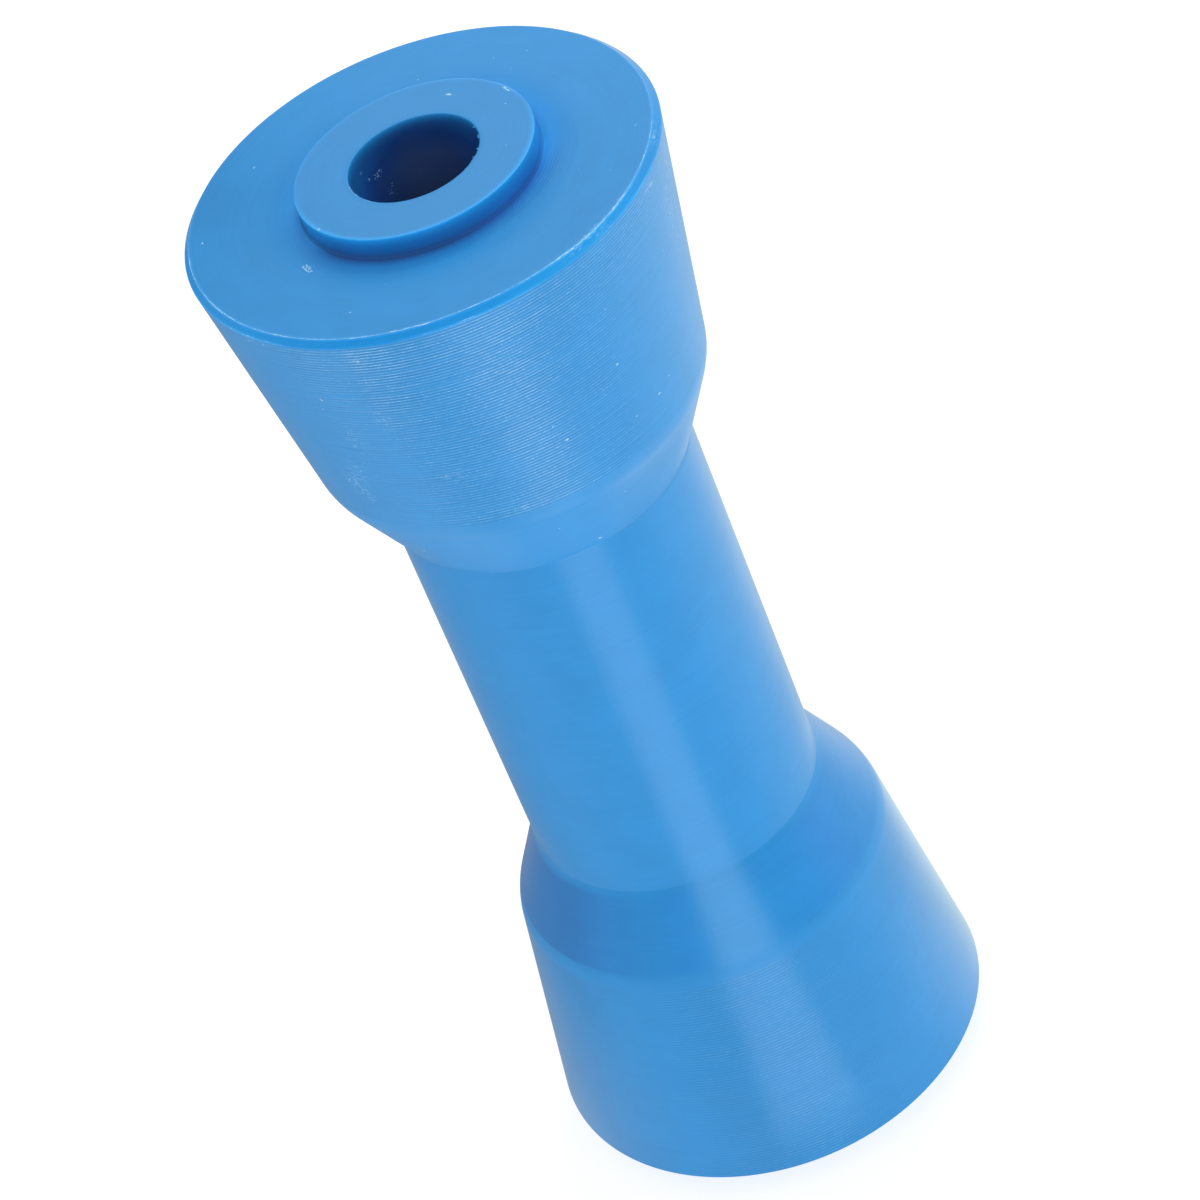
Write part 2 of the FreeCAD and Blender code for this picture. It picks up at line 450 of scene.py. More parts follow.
def addRollerBody(body, coats, edges, material):
    # A surface of revolution: rows run along the outline and columns round the axis. On the near
    # outer cone each turn of the feed is a shallow scallop, cut inwards by up to the groove depth
    # and deeper where the tool chattered.
    outline, phase, onFeed = outlineRows(body)
    zones, distances = bodyZones(body, outline, onFeed)
    tangent = np.roll(outline, -1, axis=0) - np.roll(outline, 1, axis=0)
    tangent /= np.linalg.norm(tangent, axis=1)[:, None]
    outward = np.stack([-tangent[:, 1], tangent[:, 0]], axis=1)
    turn = np.arange(body["columns"])[None, :] / body["columns"]
    around = byDegrees(turn)
    slant = np.concatenate([[0], np.cumsum(np.linalg.norm(np.diff(outline, axis=0), axis=1))])
    slant -= slant[np.argmax(onFeed)] - body["feedPitch"] / 3
    random = np.random.default_rng(body["seed"])
    ring = np.cumsum(phase == 0)
    wave = 0.55 * wander(random, ring[-1] + 1, 26, turn) + 0.45 * wander(random, ring[-1] + 1, 9, turn)
    lower = np.interp(slant, body["chatterDown"], (0, 0.6, 1))[:, None]
    chatter = np.interp(around, body["chatterAngles"], body["chatter"]) * (1 - lower)
    chatter = chatter + np.interp(around, body["chatterAngles"], body["chatterLow"]) * lower
    cut = body["grooveDepth"] * (4 * phase * (1 - phase))[:, None] * (0.35 + 1.3 * wave[ring])
    cut *= np.clip(0.3 + 0.8 * chatter, 0, 1)
    radius = outline[:, :1] - cut * outward[:, :1]
    height = outline[:, 1:] - cut * outward[:, 1:]
    points = onAxis(radius - edgeDrift(body, radius, height, around), turn * 2 * np.pi, height)
    points[..., 0] += hubShift(body, radius, height)
    layers = coatLayers(body["plain"], coats, zones, distances, around)
    for edge in edges.values():       # torn plastic draws a pale thread along each cut edge
        away = np.hypot(outline[:, 0] - edge["place"][0], outline[:, 1] - edge["place"][1])
        thread = np.interp(away, body["threadWidth"], (edge["thread"], 0))[:, None]
        thread = thread * np.interp(around, edge["angles"], edge["strengths"])
        layers["tone"] *= 1 + 0.3 * thread
        layers["frayAndReflection"] += 0.12 * thread
    marks = np.where(onFeed, 1, zones["farCone"] * body["farChatter"])[:, None]
    chatter = chatter * (0.3 + 0.9 * wave[ring]) * marks
    rings = zones["nearFace"] * np.interp(distances["past"], *body["faceRings"])
    chatter += rings[:, None] * np.interp(around, *body["faceRingAngles"])
    scuff = np.zeros_like(chatter)
    for angle, down, halfTurn, halfDown, strength in body["scuffs"]:
        aside = (np.mod(around - angle + 180, 360) - 180) / halfTurn
        scuff = np.maximum(scuff, strength * np.exp(-aside ** 2 - (((slant - down) / halfDown) ** 2)[:, None]))
    layers["slant"] = np.broadcast_to(slant[:, None], scuff.shape)      # millimetres along the outline
    layers["chatter"] = chatter
    layers["scuff"] = scuff
    count = len(outline)
    piece = addPiece("roller_body", points, gridFaces(count, body["columns"], True, True), material, layers)
    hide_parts("roller")
    print("roller body:", count, "rows,", 2 * count * body["columns"], "triangles")


def surfaceNoise(tree, place, slant, roundScale, alongScale, detail):
    # Noise that is stretched round the axis: Object coordinates round it, millimetres along the outline.
    split = addNode(tree, "ShaderNodeSeparateXYZ", inputs={0: place.outputs["Object"]})
    x, y = (addNode(tree, "ShaderNodeMath", {"operation": "MULTIPLY"},
                    {0: split.outputs[axis], 1: roundScale * 1000}) for axis in "XY")
    along = addNode(tree, "ShaderNodeMath", {"operation": "MULTIPLY"}, {0: slant.outputs["Fac"], 1: alongScale})
    joined = addNode(tree, "ShaderNodeCombineXYZ", inputs={
        0: x.outputs[0], 1: y.outputs[0], 2: along.outputs[0]})
    return addNode(tree, "ShaderNodeTexNoise", inputs={
        "Vector": joined.outputs[0], "Scale": 1.0, "Detail": detail, "Roughness": 0.6}).outputs["Fac"]


def turnedPolyethylene(feedPitch):
    # Blue polyethylene bar, turned on a lathe: a saturated, slightly waxy plastic with a soft sheen,
    # and fine marks that run round the axis. The tops of the feed marks are pale, partly as frayed plastic
    # and partly as painted glints. The colour also carries painted light and shade from its layers.
    material, tree, output = newMaterial("turnedPolyethylene")
    place = addNode(tree, "ShaderNodeTexCoord")
    slant = addNode(tree, "ShaderNodeAttribute", {"attribute_name": "slant"})
    scores = surfaceNoise(tree, place, slant, 0.06, 3.0, 3.0)       # hair-fine rings, 0.3 mm apart
    clouds = surfaceNoise(tree, place, slant, 0.12, 0.12, 2.0)      # faint mottling, 8 mm across
    dashes = surfaceNoise(tree, place, slant, 0.5, 1.7, 2.0)        # breaks the pale lines every 2 mm or so
    sparks = surfaceNoise(tree, place, slant, 3.5, 1.9, 0.0)        # and paints bright glints on them
    bump = addNode(tree, "ShaderNodeBump", inputs={"Strength": 0.25, "Distance": 0.00003, "Height": scores})
    mottle = addNode(tree, "ShaderNodeMapRange", inputs={"Value": clouds, 1: 0.3, 2: 0.7, 3: 0.97, 4: 1.03})
    blue = addRamp(tree, scores, (0.3, "#1C8ED6"), (0.7, "#2092DA"))
    tone, deep, frayAndReflection, sheen, chatter, scuff = (
        addNode(tree, "ShaderNodeAttribute", {"attribute_name": name})
        for name in ("tone", "deep", "frayAndReflection", "sheen", "chatter", "scuff"))
    turns = addNode(tree, "ShaderNodeMath", {"operation": "DIVIDE"}, {0: slant.outputs["Fac"], 1: feedPitch})
    # 0 on a crest of the feed marks and 0.5 in a hollow
    groove = addNode(tree, "ShaderNodeMath", {"operation": "PINGPONG"}, {0: turns.outputs[0], 1: 0.5})
    crest = addNode(tree, "ShaderNodeMapRange", inputs={"Value": groove.outputs[0], 1: 0.0, 2: 0.22, 3: 1, 4: 0})
    # The hollows of the feed marks are darkened where the marks show: painted shade.
    hollow = addNode(tree, "ShaderNodeMapRange", inputs={
        "Value": groove.outputs[0], 1: 0.2, 2: 0.5, 3: 0, 4: -0.18})
    shade = addNode(tree, "ShaderNodeMath", {"operation": "MULTIPLY_ADD"},
                    {0: chatter.outputs["Fac"], 1: hollow.outputs[0], 2: mottle.outputs[0]})
    # The deep layer mixes in a deeper blue and the tone layer makes the colour brighter or darker: painted light
    # and shade.
    deepened = addNode(tree, "ShaderNodeMixRGB", inputs={
        0: deep.outputs["Fac"], 1: blue.outputs["Color"], 2: hexColour("#1F58A9")})
    depth = addNode(tree, "ShaderNodeMath", {"operation": "MULTIPLY"},
                    {0: tone.outputs["Fac"], 1: shade.outputs[0]})
    shaded = addNode(tree, "ShaderNodeVectorMath", {"operation": "SCALE"},
                     {0: deepened.outputs["Color"], "Scale": depth.outputs[0]})
    # Past 1 the deep layer mixes in a greyish navy: painted shade deep in the bore.
    boreShadeShare = addNode(tree, "ShaderNodeMath", {"operation": "SUBTRACT", "use_clamp": True},
                   {0: deep.outputs["Fac"], 1: 1.0})
    boreShaded = addNode(tree, "ShaderNodeMixRGB", {"use_clamp": True}, {
        0: boreShadeShare.outputs[0], 1: shaded.outputs["Vector"], 2: hexColour("#4E6C9E")})
    broken = addNode(tree, "ShaderNodeMapRange", inputs={"Value": dashes, 1: 0.35, 2: 0.65, 3: 0.2, 4: 0.55})
    # Bright grains on the pale lines of the feed marks: painted glints.
    paintedGlints = addNode(tree, "ShaderNodeMapRange", inputs={"Value": sparks, 1: 0.64, 2: 0.76, 3: 0, 4: 0.5})
    bright = addNode(tree, "ShaderNodeMath", {"operation": "ADD"}, {0: broken.outputs[0], 1: paintedGlints.outputs[0]})
    line = addNode(tree, "ShaderNodeMath", {"operation": "MULTIPLY"},
                   {0: crest.outputs[0], 1: bright.outputs[0]})
    pale = addNode(tree, "ShaderNodeMath", {"operation": "MULTIPLY_ADD", "use_clamp": True},
                   {0: chatter.outputs["Fac"], 1: line.outputs[0], 2: frayAndReflection.outputs["Fac"]})
    streaks = surfaceNoise(tree, place, slant, 0.9, 3.2, 2.0)       # the rubbed patches are streaky
    streaky = addNode(tree, "ShaderNodeMapRange", inputs={"Value": streaks, 1: 0.5, 2: 0.72, 3: 0, 4: 1})
    paleAmount = addNode(tree, "ShaderNodeMath", {"operation": "MULTIPLY_ADD", "use_clamp": True},
                     {0: scuff.outputs["Fac"], 1: streaky.outputs[0], 2: pale.outputs[0]})
    # The pale colour: frayed plastic and rubbed patches, with the painted glints and the painted reflection of
    # the pale coats.
    paled = addNode(tree, "ShaderNodeMixRGB", inputs={
        0: paleAmount.outputs[0], 1: boreShaded.outputs["Color"], 2: hexColour("#9FD2F8")})
    shader = addNode(tree, "ShaderNodeBsdfPrincipled", inputs={
        "Base Color": paled.outputs["Color"],
        "Roughness": sheen.outputs["Fac"],
        "IOR": 1.51,
        "Normal": bump.outputs["Normal"],
    })
    tree.links.new(shader.outputs[0], output.inputs["Surface"])
    return material


polyethylene = turnedPolyethylene(rollerBody["feedPitch"])


def frayedPolyethylene():
    # The same plastic torn into thin threads and flakes: it scatters light, so it looks pale and matt.
    material, tree, output = newMaterial("frayedPolyethylene")
    place = addNode(tree, "ShaderNodeTexCoord")
    grain = addNode(tree, "ShaderNodeTexNoise", inputs={
        "Vector": place.outputs["Object"], "Scale": 1800.0, "Detail": 2.0})      # half a millimetre
    pale = addRamp(tree, grain.outputs["Fac"], (0.35, "#3AAEFF"), (0.62, "#8EDBFF"))
    whiteness = addNode(tree, "ShaderNodeAttribute", {"attribute_name": "whiteness"})
    paler = addNode(tree, "ShaderNodeMixRGB", inputs={
        0: whiteness.outputs["Fac"], 1: pale.outputs["Color"], 2: hexColour("#E2F8FF")})
    shader = addNode(tree, "ShaderNodeBsdfPrincipled", inputs={
        "Base Color": paler.outputs["Color"],
        "Roughness": 0.55,
        "IOR": 1.51,
        "Specular IOR Level": 0.25,
    })
    tree.links.new(shader.outputs[0], output.inputs["Surface"])
    return material


# Thin ragged edges that the tool left. Each follows a cut edge at a radius and a height, from the
# surface on its inner side over the crest to the surface on its outer side. Strengths are by angle.
cutEdges = {
    "rim_burr": {
        "place": (37.5, 96.3), "inner": (-1.0, 0.0), "outer": (0.67, -0.74), "out": (0.35, 0.94),
        "width": 0.16, "lift": 0.08, "base": 0.3, "seed": 5, "thread": 0.8, "knots": (70, 330, 520),
        "angles": (-180, -135, -110, -100, -75, -50, -20, -8, 0, 12, 17, 24, 34, 46, 52, 66, 74, 110, 180),
        "strengths": (0.3, 0.25, 0.4, 0.7, 0.9, 0.85, 0.9, 1.0, 0.8, 0.9,
                      1.3, 1.6, 1.6, 1.3, 1.0, 0.8, 0.5, 0.3, 0.3),
    },
    "chamfer_burr": {
        "place": (38.43, 95.25), "inner": (-0.67, 0.74), "outer": (-0.134, -0.991), "out": (0.0, 1.0),
        "width": 0.16, "lift": 0.06, "base": 0.3, "seed": 11, "thread": 0.8, "knots": (70, 330, 520),
        "angles": (-180, -90, -70, -64, -50, -45, -20, -12, -2, 12, 18, 30, 50, 58, 64, 90, 180),
        "strengths": (0.15, 0.2, 0.9, 1.3, 1.1, 0.3, 0.15, 0.8, 1.2, 0.9, 0.2, 0.15, 1.0, 0.9, 0.2, 0.15, 0.15),
    },
    "hub_burr": {
        "place": (19.35, 99.93), "inner": (-1.0, 0.0), "outer": (0.0, -1.0), "out": (1.0, 0.0),
        "width": 0.12, "lift": 0.04, "base": 0.3, "seed": 23, "thread": 0.5, "knots": (70, 330, 520),
        "angles": (-180, -150, -110, -80, -66, -62, -40, 60, 104, 110, 118, 124, 150, 180),
        "strengths": (1.0, 1.0, 0.9, 0.3, 1.2, 0.0, 0.0, 0.0, 0.4, 1.7, 1.8, 0.8, 1.0, 1.0),
    },
    "bore_burr": {
        "place": (10.65, 99.90), "inner": (0.0, -1.0), "outer": (1.0, 0.0), "out": (-1.0, -0.1),
        "width": 0.08, "lift": 0.4, "base": -0.12, "seed": 37, "thread": 0.0, "knots": (45, 150, 260),
        "blue": True,         # too thick to look pale
        "angles": (-180, -120, -60, 0, 40, 58, 66, 100, 112, 130, 180),
        "strengths": (0.15, 0.2, 0.15, 0.15, 0.3, 0.9, 1.6, 1.5, 0.7, 0.25, 0.15),
    },
}


addRollerBody(rollerBody, bodyCoats, cutEdges, polyethylene)


burrForm = {
    "columns": 1100,          # points round the ring
    "sunk": 0.012,            # how far a crest with no height lies below the surface
    "footDepth": 0.03,
    "rootDepth": 0.12,
}


def addCutEdge(body, name, edge, material, attributes):
    # A closed ring with four points across: inner foot, crest, outer foot, and a root inside the
    # roller. Width and height follow random waves, and fall to almost nothing where they run out.
    turn = np.arange(burrForm["columns"])[None, :] / burrForm["columns"]
    around = byDegrees(turn)
    random = np.random.default_rng(edge["seed"])
    strength = np.interp(around, edge["angles"], edge["strengths"])[0]
    patch, shred, nick = (wander(random, 1, knots, turn)[0] for knots in edge["knots"])
    ragged = np.clip(0.9 * patch + 1.2 * shred - 0.62, 0, 1.5)
    width = edge["width"] * strength * (0.45 + 0.8 * ragged)
    lift = edge["lift"] * strength * (edge["base"] + 1.5 * ragged * nick) - burrForm["sunk"]
    inner, outer, out = (np.array(edge[key]) for key in ("inner", "outer", "out"))
    lean = width * (shred - 0.5)
    across = np.stack([
        width[:, None] * inner - burrForm["footDepth"] * out,
        lift[:, None] * out + lean[:, None] * inner,
        width[:, None] * outer - burrForm["footDepth"] * out,
        -burrForm["rootDepth"] * out * np.ones((len(width), 1)),
    ])
    radius = edge["place"][0] + across[..., 0]
    height = edge["place"][1] + across[..., 1]
    footRadius, footHeight = (np.full_like(radius, place) for place in edge["place"])
    radius -= edgeDrift(body, footRadius, footHeight, around)
    points = onAxis(radius, turn * 2 * np.pi, height)
    points[..., 0] += hubShift(body, footRadius, footHeight)
    attributes = {key: np.full(radius.shape, value) for key, value in attributes.items()}
    addPiece(name, points, gridFaces(4, turn.size, True, True), material, attributes, smooth=False)


# Loose flakes and scuffs, as they lie in the picture. Each row is a surface, an angle, a place (the
# radius on an end, the height on a side), how many, their spread in degrees and millimetres, and a size.
strayFlecks = {
    "seed": 71,
    "sides": 9,
    "scale": 1.45,
    "stretch": (1.5, 0.7),    # round the axis and along the outline
    "rimHeight": 0.004,
    "crown": (0.015, 0.08),   # its top's height: a constant, and a share of its size
    "root": 0.05,
    "whiteness": 0.45,
    "spots": [
        ("face", -63.0, 23.8, 13, 2.2, 0.45, 0.12), ("face", -60.6, 24.1, 13, 2.0, 0.25, 0.13),
        ("face", -33.0, 31.4, 2, 0.3, 0.1, 0.10), ("face", 56.2, 27.1, 1, 0.1, 0.1, 0.10),
        ("face", 55.5, 32.5, 1, 0.1, 0.1, 0.11), ("face", 73.5, 34.8, 3, 0.3, 0.15, 0.11),
        ("face", -131.8, 31.1, 3, 0.4, 0.2, 0.12), ("face", -100.5, 35.2, 2, 0.2, 0.1, 0.11),
        ("face", -25.5, 25.7, 1, 0.1, 0.1, 0.09), ("face", -19.2, 37.3, 6, 0.6, 0.12, 0.15),
        ("face", -11.6, 37.4, 6, 0.6, 0.10, 0.15), ("hub", 145.0, 15.4, 8, 1.3, 0.25, 0.17),
        ("hub", 63.5, 15.2, 1, 0.1, 0.1, 0.15), ("hub", 103.8, 16.7, 1, 0.1, 0.1, 0.11),
        ("hub", 114.2, 18.9, 16, 3.0, 0.22, 0.14), ("hub", -65.0, 19.1, 4, 0.7, 0.15, 0.15),
        ("bore", -145.5, 93.9, 18, 5.0, 0.6, 0.10), ("bore", -135.2, 94.6, 4, 1.5, 0.3, 0.10),
        ("bore", -152.2, 90.0, 9, 4.0, 1.0, 0.09), ("bore", -128.0, 96.8, 4, 1.5, 0.3, 0.08),
        ("cone", -29.8, 92.6, 5, 0.5, 0.9, 0.09), ("cone", -45.5, 83.4, 2, 0.2, 0.2, 0.13),
        ("cone", -47.2, 80.9, 1, 0.1, 0.1, 0.12), ("cone", -31.6, 79.4, 5, 0.5, 1.6, 0.09),
        ("cone", 8.8, 64.7, 2, 0.1, 0.1, 0.18), ("cone", 6.7, 68.6, 1, 0.1, 0.1, 0.13),
        ("cone", 28.0, 72.1, 1, 0.1, 0.1, 0.16), ("cone", 38.7, 60.3, 2, 0.1, 0.1, 0.19),
        ("cone", 29.2, 82.9, 1, 0.1, 0.1, 0.14), ("cone", 43.8, 61.2, 1, 0.1, 0.1, 0.13),
        ("cone", 29.2, 60.4, 1, 0.1, 0.1, 0.14), ("cone", 22.6, 69.8, 3, 1.4, 1.4, 0.07),
        ("cone", -22.0, 65.5, 3, 2.0, 0.6, 0.07), ("cone", -52.3, 62.6, 9, 2.2, 2.6, 0.09),
        ("cone", -50.5, 60.0, 3, 0.8, 0.6, 0.10), ("cone", -42.8, 74.4, 3, 1.4, 1.6, 0.07),
        ("cone", -48.2, 66.5, 3, 1.3, 1.8, 0.07), ("cone", -9.0, 55.2, 4, 2.6, 0.8, 0.07),
        ("cone", 54.5, 93.3, 6, 2.2, 0.35, 0.12), ("cone", -56.0, 94.5, 5, 4.0, 0.25, 0.10),
        ("steep", -49.3, 44.2, 2, 0.1, 0.1, 0.18), ("steep", 9.2, 38.3, 3, 0.5, 0.1, 0.17),
        ("steep", 20.6, 46.8, 1, 0.1, 0.1, 0.12), ("steep", -2.0, 46.5, 1, 0.1, 0.1, 0.11),
        ("cone", 63.0, 86.0, 6, 3.0, 6.0, 0.08), ("cone", 57.0, 80.0, 4, 3.0, 6.0, 0.07),
        ("cone", 150.0, 72.0, 5, 40.0, 16.0, 0.12), ("face", 170.0, 29.0, 5, 50.0, 5.0, 0.11),
        ("hub", -78.0, 10.72, 7, 14.0, 0.05, 0.07), ("hub", -52.0, 10.72, 5, 8.0, 0.04, 0.06),
    ],
}


def addStrayFlecks(body, settings, material):
    # Each flake is a small flat lens with a jagged rim, half sunk in the surface that it lies on.
    rim = body["rimDiameter"] / 2
    end = body["length"] / 2 - body["skim"]
    face = body["length"] / 2 - body["hubHeight"]
    coneTop = (rim, face - body["chamferLength"])
    shoulder = (body["shoulderDiameter"] / 2, body["shoulderSpacing"] / 2)
    waist = (body["waistDiameter"] / 2, body["waistLength"] / 2)
    bore = body["boreDiameter"] / 2
    sides = {                 # two points of each surface's outline
        "bore": ((bore, 0.0), (bore, end)),
        "hub": ((bore, end), (rim, end)),
        "face": ((bore, face), (rim, face)),
        "cone": (coneTop, shoulder),
        "steep": (shoulder, waist),
    }
    random = np.random.default_rng(settings["seed"])
    angles, radii, heights, downs, sizes = [], [], [], [], []
    for side, angle, place, count, spreadAngle, spreadPlace, size in settings["spots"]:
        start, stop = (np.array(point) for point in sides[side])
        alongRadius = side in ("face", "hub")
        places = place + spreadPlace * random.uniform(-1, 1, count)
        share = (places - start[0 if alongRadius else 1]) / (stop - start)[0 if alongRadius else 1]
        angles.append(angle + spreadAngle * random.uniform(-1, 1, count))
        radii.append(start[0] + share * (stop - start)[0])
        heights.append(start[1] + share * (stop - start)[1])
        downs.append(np.tile((stop - start) / np.linalg.norm(stop - start), (count, 1)))
        sizes.append(settings["scale"] * size * random.uniform(0.6, 1.25, count))
    angle = np.radians(np.concatenate(angles))
    radius, height, size = np.concatenate(radii), np.concatenate(heights), np.concatenate(sizes)
    down = np.concatenate(downs)
    count, rays = len(angle), settings["sides"]
    sine, cosine = np.sin(angle), np.cos(angle)
    along = np.stack([down[:, 0] * sine, -down[:, 0] * cosine, down[:, 1]], axis=1)
    aside = np.stack([cosine, sine, np.zeros(count)], axis=1)
    out = np.cross(along, aside)
    spin = random.uniform(0, np.pi, (count, 1)) + np.arange(rays)[None, :] * 2 * np.pi / rays
    reach = size[:, None] * random.uniform(0.35, 1.0, (count, rays))
    centre = onAxis(radius, angle, height)
    centre[:, 0] += hubShift(body, radius, height)
    ringPoints = (centre[:, None] + (reach * np.cos(spin) * settings["stretch"][0])[..., None] * aside[:, None]
                  + (reach * np.sin(spin) * settings["stretch"][1])[..., None] * along[:, None]
                  + settings["rimHeight"] * out[:, None])
    top = centre + out * (settings["crown"][0] + settings["crown"][1] * size[:, None])
    bottom = centre - out * settings["root"]
    points = np.concatenate([ringPoints, top[:, None], bottom[:, None]], axis=1)
    k = np.arange(rays)
    fan = np.stack([k, (k + 1) % rays, np.full(rays, rays)], axis=1)
    under = np.stack([(k + 1) % rays, k, np.full(rays, rays + 1)], axis=1)
    one = np.concatenate([fan, under])
    faces = (one[None] + (np.arange(count) * (rays + 2))[:, None, None]).reshape(-1, 3)
    whiteness = np.full(count * (rays + 2), settings["whiteness"])
    addPiece("stray_flecks", points, faces, material, {"whiteness": whiteness}, smooth=False)
    print("stray flecks:", count)


frayed = frayedPolyethylene()
for edgeName, edgeSettings in cutEdges.items():
    if edgeSettings.get("blue"):
        addCutEdge(rollerBody, edgeName, edgeSettings, polyethylene, {"tone": 0.9, "sheen": 0.35})
    else:
        addCutEdge(rollerBody, edgeName, edgeSettings, frayed, {"whiteness": 0.2})
addStrayFlecks(rollerBody, strayFlecks, frayed)
print("burrs and flecks laid")


# Studio: an even room, a softly glowing white table and a soft box to the right.
studio = {
    "tableHeight": -0.1,
    "tableReach": 4.0,        # metres each way
    "tableColour": "#F0F0F0",
    "tableGlow": 0.47,        # light that comes up through the table
    "tableWhite": 0.6,        # the share of plain white where it is seen directly
    "roomLevel": 0.75,
    "aim": (0, 0, 0.05),      # where the lamps point, in the near half of the roller
    "lamps": {                # watts, metres across, place
        "keySoftbox": (2.9, 0.8, (1.22, -0.25, 0.2)),
        "frontSoftbox": (0.75, 0.5, (-0.25, -1.1, 0.05)),
        "backSoftbox": (0.9, 0.22, (0.205, 0.355, 0.466)),
    },
}


def seenDirectly(tree):
    # 1 for a ray from the camera or from a mirror or glass, and 0 for light on the object.
    path = addNode(tree, "ShaderNodeLightPath")
    mirror = addNode(tree, "ShaderNodeMath", {"operation": "MAXIMUM"},
                     {0: path.outputs["Is Camera Ray"], 1: path.outputs["Is Glossy Ray"]})
    return addNode(tree, "ShaderNodeMath", {"operation": "MAXIMUM"},
                   {0: mirror.outputs[0], 1: path.outputs["Is Transmission Ray"]}).outputs[0]


def addRoom(settings):
    # An even room, which shows as plain white behind the object.
    world = bpy.data.worlds.new("room")
    scene.world = world
    world.use_nodes = True
    tree = world.node_tree
    tree.nodes.clear()
    output = tree.nodes.new("ShaderNodeOutputWorld")
    light = addNode(tree, "ShaderNodeBackground", inputs={
        "Color": (1, 1, 1, 1), "Strength": settings["roomLevel"]})
    white = addNode(tree, "ShaderNodeBackground", inputs={"Color": (1, 1, 1, 1), "Strength": 1.0})
    mix = addNode(tree, "ShaderNodeMixShader", inputs={
        0: seenDirectly(tree), 1: light.outputs[0], 2: white.outputs[0]})
    tree.links.new(mix.outputs[0], output.inputs["Surface"])


def addStage(name, points, faces, material):
    # A mesh in metres that is not part of the object.
    mesh = bpy.data.meshes.new(name)
    mesh.from_pydata(points.reshape(-1, 3).tolist(), [], faces.tolist())
    mesh.materials.append(material)
    thing = bpy.data.objects.new(name, mesh)
    scene.collection.objects.link(thing)
    return thing


def addTable(settings):
    # Matt white acrylic with a little light from below. Seen directly it is mostly plain white,
    # with part of its own shading left in, which keeps the object's shadow.
    material, tree, output = newMaterial("mattWhiteAcrylic")
    board = addNode(tree, "ShaderNodeBsdfDiffuse", inputs={"Color": hexColour(settings["tableColour"])})
    below = addNode(tree, "ShaderNodeEmission", inputs={
        "Color": (1, 1, 1, 1), "Strength": settings["tableGlow"]})
    lit = addNode(tree, "ShaderNodeAddShader", inputs={0: board.outputs[0], 1: below.outputs[0]})
    white = addNode(tree, "ShaderNodeEmission", inputs={"Color": (1, 1, 1, 1), "Strength": 1.0})
    share = addNode(tree, "ShaderNodeMath", {"operation": "MULTIPLY"},
                    {0: seenDirectly(tree), 1: settings["tableWhite"]})
    mix = addNode(tree, "ShaderNodeMixShader", inputs={
        0: share.outputs[0], 1: lit.outputs[0], 2: white.outputs[0]})
    tree.links.new(mix.outputs[0], output.inputs["Surface"])
    reach = np.linspace(-settings["tableReach"], settings["tableReach"], 9)
    x, y = np.meshgrid(reach, reach)
    points = np.stack([x, y, np.full_like(x, settings["tableHeight"])], axis=-1)
    addStage("table", points, gridFaces(9, 9, False, False)[:, ::-1], material)


def addSoftbox(name, power, size, place, target):
    # A square lamp that faces a target. It doesn't show in the plastic, which mirrors the sheet below.
    data = bpy.data.lights.new(name, "AREA")
    data.energy = power
    data.size = size
    lamp = bpy.data.objects.new(name, data)
    scene.collection.objects.link(lamp)
    aim = Vector(place) - Vector(target)
    lamp.matrix_world = Matrix.Translation(place) @ aim.to_track_quat("Z", "Y").to_matrix().to_4x4()
    lamp.visible_camera = False
    lamp.visible_glossy = False


# What the plastic mirrors: a round sheet on the table that turns up into a wall, nearer behind the
# roller than in front. It is brighter and warmer to the right, and dim behind the camera and to the
# left behind the roller. A white card lies and stands in front.
mirrored = {
    "start": 0.012,           # metres from the axis
    "frontReach": 1.3,
    "backReach": 0.36,
    "top": 80.0,              # the wall's, in degrees up from the roller
    "columns": 300,
    "tableRows": 24,
    "wallRows": 40,
    "behindFrom": 75,         # degrees from the front where the back begins, and
    "behindOver": 40,         # over how many it takes over
    "tableAngles": (-180, -130, -100, -70, -45, 0, 45, 70, 100, 130, 180),
    "tableLevels": (0.60, 0.34, 0.40, 0.60, 0.56, 0.60, 0.70, 1.05, 1.05, 1.18, 0.80),
    "frontAngles": (0, 12, 25, 45),
    "frontLevels": (0.22, 0.17, 0.05, 0.0),
    "backAngles": (100, 150, 168, 174, 180, 185, 190, 197, 210, 260),
    "backLevels": (0.7, 0.80, 0.75, 0.80, 0.95, 0.75, 0.40, 0.10, 0.05, 0.20),
    "backTilts": (0.0, 0.0, 0.0, 0.0, 0.02, 0.05, 0.05, 0.0, 0.0, 0.0),     # a share more for each degree
    "backMiddle": 42.7,
    "footReach": (0.07, 0.085, 0.10, 0.14, 0.2, 0.35),     # distances along the table, and its level there
    "footLevels": (1.3, 0.8, 0.8, 1.0, 0.95, 0.82),
    "warmAngles": (0, 40, 70, 100, 130, 180),
    "warmth": (0.05, 0.1, 0.2, 0.35, 0.25, 0.1),     # the share of blue that is missing
    "greenLoss": 0.15,        # how much of that share green loses too
    "warmTop": 20,            # degrees up
    "cardStart": 0.06,
    "cardAngle": 1.5,
    "cardHalfAngle": 16.0,
    "cardEdge": 4.0,
    "cardTop": 17.0,
    "cardFold": (-3, 3),      # degrees between which it turns up
    "cardLevels": (1.95, 3.3),     # lying and standing
}


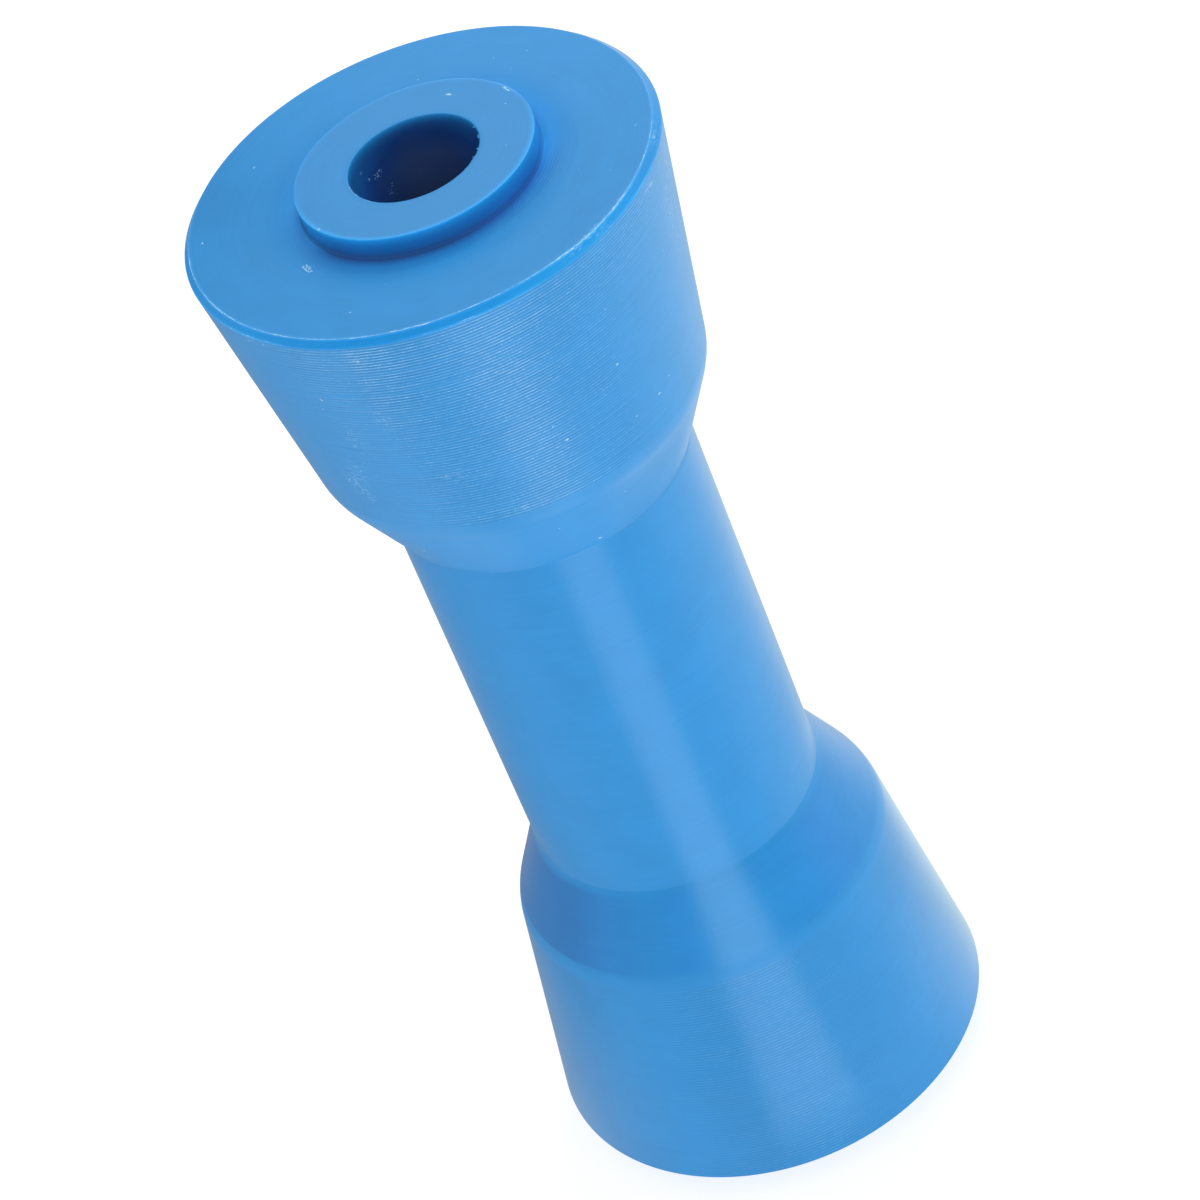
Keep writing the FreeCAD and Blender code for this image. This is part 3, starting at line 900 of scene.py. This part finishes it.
def addMirrored(settings, table):
    # Rows run out along the table, at reaches in a constant ratio, and then up the wall by even
    # angles. Columns go all the way round.
    turn = np.linspace(-180, 180, settings["columns"], endpoint=False)[None, :]
    behind = np.clip((np.abs(turn) - settings["behindFrom"]) / settings["behindOver"], 0, 1)
    far = settings["frontReach"] * (1 - behind) + settings["backReach"] * behind
    lying = settings["start"] * (far / settings["start"]) ** np.linspace(0, 1, settings["tableRows"])[:, None]
    foot = np.degrees(np.arctan2(table, far))
    climb = foot + (settings["top"] - foot) * np.linspace(0, 1, settings["wallRows"] + 1)[1:, None]
    out = np.concatenate([lying, far + np.zeros_like(climb)])
    height = np.concatenate([np.full_like(lying, table + 0.001), far * np.tan(np.radians(climb))])
    elevation = np.degrees(np.arctan2(height, out))
    level = np.interp(turn, settings["tableAngles"], settings["tableLevels"])
    level = level * np.interp(out, settings["footReach"], settings["footLevels"])
    front = np.interp(elevation, settings["frontAngles"], settings["frontLevels"])
    back = np.interp(np.mod(turn, 360), settings["backAngles"], settings["backLevels"])
    tilt = np.interp(np.mod(turn, 360), settings["backAngles"], settings["backTilts"])
    back = back * np.clip(1 + tilt * (elevation - settings["backMiddle"]), 0, 2)
    level = np.where(elevation > 0, front * (1 - behind) + back * behind, level)
    inside = settings["cardHalfAngle"] - np.abs(turn - settings["cardAngle"])
    card = np.clip(inside / settings["cardEdge"] + 0.5, 0, 1)
    card = card * np.clip((settings["cardTop"] - elevation) / settings["cardEdge"] + 0.5, 0, 1)
    card = card * (out > settings["cardStart"])
    level = level * (1 - card) + np.interp(elevation, settings["cardFold"], settings["cardLevels"]) * card
    warmth = np.interp(turn, settings["warmAngles"], settings["warmth"]) * (elevation < settings["warmTop"])
    colour = np.stack([np.ones_like(level), 1 - settings["greenLoss"] * warmth, 1 - warmth], axis=-1)
    colour *= level[..., None]
    material, tree, output = newMaterial("mirroredRoom")
    shown = addNode(tree, "ShaderNodeAttribute", {"attribute_name": "shown"})
    glow = addNode(tree, "ShaderNodeEmission", inputs={"Color": shown.outputs["Color"], "Strength": 1.0})
    tree.links.new(glow.outputs[0], output.inputs["Surface"])
    material.cycles.emission_sampling = "NONE"
    points = onAxis(out, np.radians(turn), height)
    sheet = addStage("mirroredRoom", points, gridFaces(len(out), turn.size, False, True), material)
    shade = np.concatenate([colour, np.ones_like(level)[..., None]], axis=-1).astype(np.float32)
    sheet.data.attributes.new("shown", "FLOAT_COLOR", "POINT").data.foreach_set("color", shade.ravel())
    sheet.visible_camera = False
    sheet.visible_diffuse = False
    sheet.visible_transmission = False
    sheet.visible_volume_scatter = False
    sheet.visible_shadow = False


addRoom(studio)
addTable(studio)
for lampName, (lampPower, lampSize, lampPlace) in studio["lamps"].items():
    addSoftbox(lampName, lampPower, lampSize, lampPlace, studio["aim"])
addMirrored(mirrored, studio["tableHeight"])
print("studio lit")
